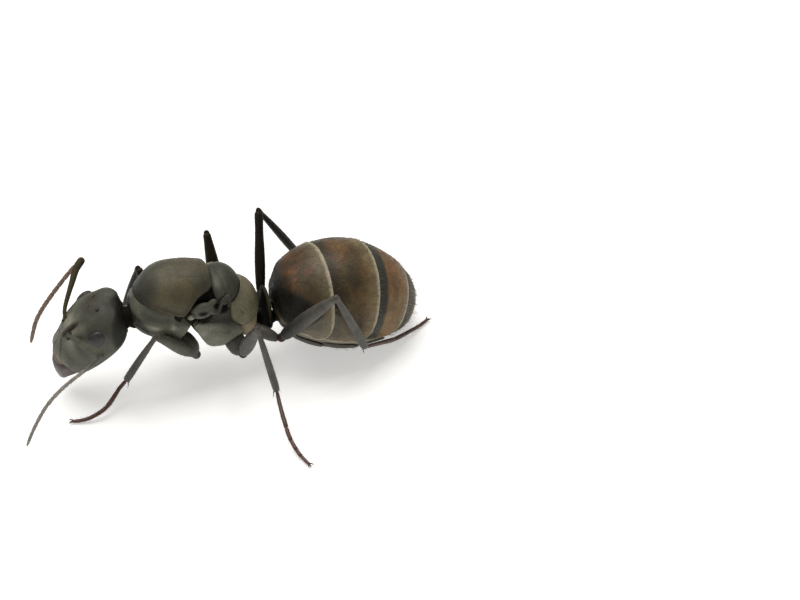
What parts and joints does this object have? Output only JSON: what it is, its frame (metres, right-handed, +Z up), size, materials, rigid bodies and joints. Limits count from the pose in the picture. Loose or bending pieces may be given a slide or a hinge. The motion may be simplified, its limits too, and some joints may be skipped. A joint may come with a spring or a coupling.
{
  "type": "ant",
  "caption": "Life-size still model of a carpenter ant queen, wingless and with a swollen gaster, standing on its feet with the gaster resting on the floor.",
  "frame": {"origin": "centre of the standing model's footprint, on the floor", "axes": "+X from the head towards the tip of the gaster, +Y towards the queen's right side, +Z up"},
  "size_m": [0.0188, 0.0138, 0.0056],
  "materials": {
    "shell": "dull grey-black cuticle with fine leathery grain and a thin silvery down",
    "gaster": "satin dark brown cuticle, near black in front, each plate edged with a straw-coloured line",
    "eye": "dark, finely faceted, soft gloss",
    "jaw": "dark red-brown, polished at the teeth",
    "leg": "black-brown cuticle, satin",
    "foot": "reddish brown cuticle, finely haired"
  },
  "bodies": {
    "root": {"mandible_left": "jaw", "mandible_right": "jaw", "eye_left": "eye", "eye_right": "eye", "head": "shell", "neck": "shell", "thorax_pronotum": "shell", "thorax_scutum": "shell", "thorax_scutellum": "shell", "thorax_mesopleuron": "shell", "thorax_propodeum": "shell", "petiole": "shell", "gaster_1": "gaster", "gaster_2": "gaster", "gaster_3": "gaster", "gaster_4": "gaster", "gaster_5": "gaster", "scape_left": "leg", "funiculus_base_left": "foot", "funiculus_tip_left": "foot", "scape_right": "leg", "funiculus_base_right": "foot", "funiculus_tip_right": "foot", "coxa_left_fore": "leg", "trochanter_left_fore": "leg", "femur_left_fore": "leg", "tibia_left_fore": "leg", "tarsus_left_fore": "foot", "coxa_left_mid": "leg", "trochanter_left_mid": "leg", "femur_left_mid": "leg", "tibia_left_mid": "leg", "tarsus_left_mid": "foot", "coxa_left_hind": "leg", "trochanter_left_hind": "leg", "femur_left_hind": "leg", "tibia_left_hind": "leg", "tarsus_left_hind": "foot", "coxa_right_fore": "leg", "trochanter_right_fore": "leg", "femur_right_fore": "leg", "tibia_right_fore": "leg", "tarsus_right_fore": "foot", "coxa_right_mid": "leg", "trochanter_right_mid": "leg", "femur_right_mid": "leg", "tibia_right_mid": "leg", "tarsus_right_mid": "foot", "coxa_right_hind": "leg", "trochanter_right_hind": "leg", "femur_right_hind": "leg", "tibia_right_hind": "leg", "tarsus_right_hind": "foot"}
  },
  "joints": []
}
